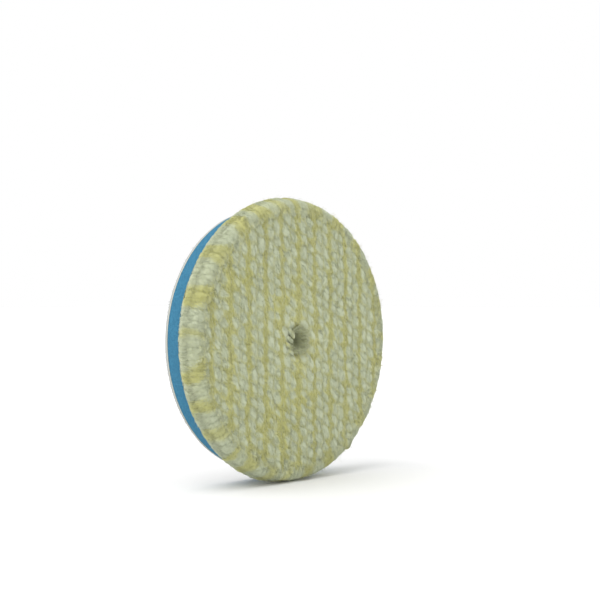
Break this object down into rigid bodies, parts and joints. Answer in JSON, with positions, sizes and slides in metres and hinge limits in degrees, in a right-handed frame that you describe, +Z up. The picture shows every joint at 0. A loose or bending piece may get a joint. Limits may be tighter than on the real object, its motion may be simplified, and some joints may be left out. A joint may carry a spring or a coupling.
{
  "type": "polishing pad",
  "caption": "Round knitted wool polishing pad with a thin foam interface, a centre hole and a hook-and-loop back for a backing plate.",
  "frame": {"origin": "on the ground under the middle of the pad as it stands on its rim", "axes": "+Y along the pad's axis from the wool face to the hook-and-loop back, +Z up, +X to the right when the wool face is looked at"},
  "size_m": [0.0822, 0.016, 0.0813],
  "materials": {
    "wool": "matte",
    "knit_backing": "matte",
    "foam": "matte",
    "bond_film": "satin",
    "loop_ground": "matte",
    "loop_nap": "matte"
  },
  "bodies": {
    "back": {"loop_nap": "loop_nap", "loop_ground": "loop_ground", "rear_bond_film": "bond_film", "foam_interface": "foam"},
    "face": {"face_bond_film": "bond_film", "knit_backing": "knit_backing", "tuft_row_01": "wool", "tuft_row_02": "wool", "tuft_row_03": "wool", "tuft_row_04": "wool", "tuft_row_05": "wool", "tuft_row_06": "wool", "tuft_row_07": "wool", "tuft_row_08": "wool", "tuft_row_09": "wool", "tuft_row_10": "wool", "tuft_row_11": "wool", "tuft_row_12": "wool"}
  },
  "joints": [
    {"name": "foam_press", "type": "slide", "parent": "back", "child": "face", "axis": [0, 1, 0], "range_m": [0, 0.0025], "stiffness_N_per_m": 3000, "deforming": ["foam_interface"]}
  ]
}
